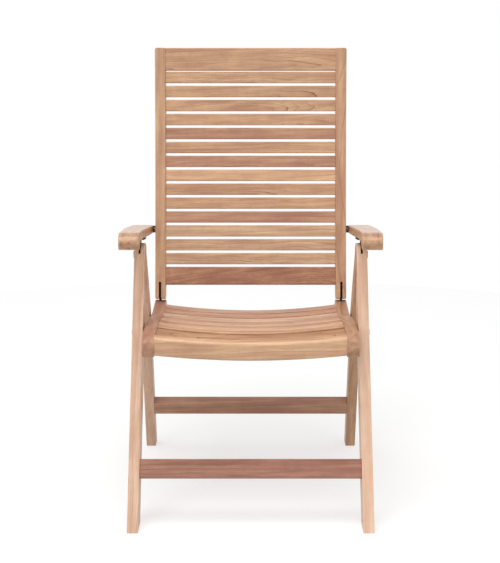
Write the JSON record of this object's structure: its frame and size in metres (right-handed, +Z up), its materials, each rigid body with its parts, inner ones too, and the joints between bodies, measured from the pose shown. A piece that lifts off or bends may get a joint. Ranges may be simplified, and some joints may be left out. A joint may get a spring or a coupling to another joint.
{
  "type": "folding armchair",
  "caption": "High-backed folding teak armchair with a slatted seat and back; front and rear legs meet on a bolt under each hinged arm.",
  "frame": {"origin": "bottom centre of the chair's box, on the floor", "axes": "+X to the right as seen from the front, +Y from the front to the rear, +Z up"},
  "size_m": [0.656, 0.7736, 1.1003],
  "materials": {
    "teak_frame": "sanded, oiled, pale pinkish tan",
    "teak_slat": "sanded, oiled, tone varies from slat to slat",
    "dark_plate": "dark, dull, blackened steel",
    "steel": "satin, slightly darkened"
  },
  "bodies": {
    "front_legs": {"front_leg_left": "teak_frame", "front_leg_right": "teak_frame", "front_stretcher": "teak_frame", "apex_bolts": "steel", "seat_pivot_bolts": "steel", "seat_pivot_washers": "steel"},
    "rear_legs": {"rear_leg_left": "teak_frame", "rear_leg_right": "teak_frame", "rear_stretcher": "teak_frame", "seat_support_pegs": "steel"},
    "seat": {"seat_rail_left": "teak_frame", "seat_rail_right": "teak_frame", "seat_slat_01": "teak_slat", "seat_slat_02": "teak_slat", "seat_slat_03": "teak_slat", "seat_slat_04": "teak_slat", "seat_slat_05": "teak_slat", "seat_slat_06": "teak_slat", "seat_slat_07": "teak_slat", "seat_slat_08": "teak_slat", "seat_slat_09": "teak_slat", "seat_slat_10": "teak_slat", "seat_slat_11": "teak_slat", "hinge_tongues": "dark_plate", "hinge_rivets": "steel"},
    "back": {"back_stile_left": "teak_frame", "back_stile_right": "teak_frame", "back_top_rail": "teak_frame", "back_bottom_rail": "teak_frame", "back_slat_01": "teak_slat", "back_slat_02": "teak_slat", "back_slat_03": "teak_slat", "back_slat_04": "teak_slat", "back_slat_05": "teak_slat", "back_slat_06": "teak_slat", "back_slat_07": "teak_slat", "back_slat_08": "teak_slat", "back_slat_09": "teak_slat", "back_slat_10": "teak_slat", "back_slat_11": "teak_slat", "back_slat_12": "teak_slat", "back_slat_13": "teak_slat", "back_slat_14": "teak_slat", "hinge_pins": "steel", "catch_studs": "steel"},
    "left_arm": {"armrest_left": "teak_frame", "arm_bracket_left": "dark_plate", "arm_hook_left": "dark_plate", "arm_bracket_screws_left": "steel", "arm_hook_screws_left": "steel"},
    "right_arm": {"armrest_right": "teak_frame", "arm_bracket_right": "dark_plate", "arm_hook_right": "dark_plate", "arm_bracket_screws_right": "steel", "arm_hook_screws_right": "steel"}
  },
  "joints": [
    {"name": "seat_fold", "type": "hinge", "parent": "front_legs", "child": "seat", "pos_m": [0, -0.10199, 0.417], "axis": [1, 0, 0], "range_deg": [0, 60.5]},
    {"name": "rear_leg_fold", "type": "hinge", "parent": "front_legs", "child": "rear_legs", "pos_m": [0, -0.01601, 0.598], "axis": [1, 0, 0], "range_deg": [-42, 0]},
    {"name": "back_fold", "type": "hinge", "parent": "seat", "child": "back", "pos_m": [0, 0.23556, 0.46257], "axis": [1, 0, 0], "range_deg": [0, 102]},
    {"name": "left_arm_fold", "type": "hinge", "parent": "front_legs", "child": "left_arm", "pos_m": [0, -0.01601, 0.598], "axis": [1, 0, 0], "range_deg": [0, 66]},
    {"name": "right_arm_fold", "type": "hinge", "parent": "front_legs", "child": "right_arm", "pos_m": [0, -0.01601, 0.598], "axis": [1, 0, 0], "range_deg": [0, 66]}
  ],
  "couplings": [
    {"joint": "rear_leg_fold", "follows": "seat_fold", "ratio": -0.69422}
  ]
}
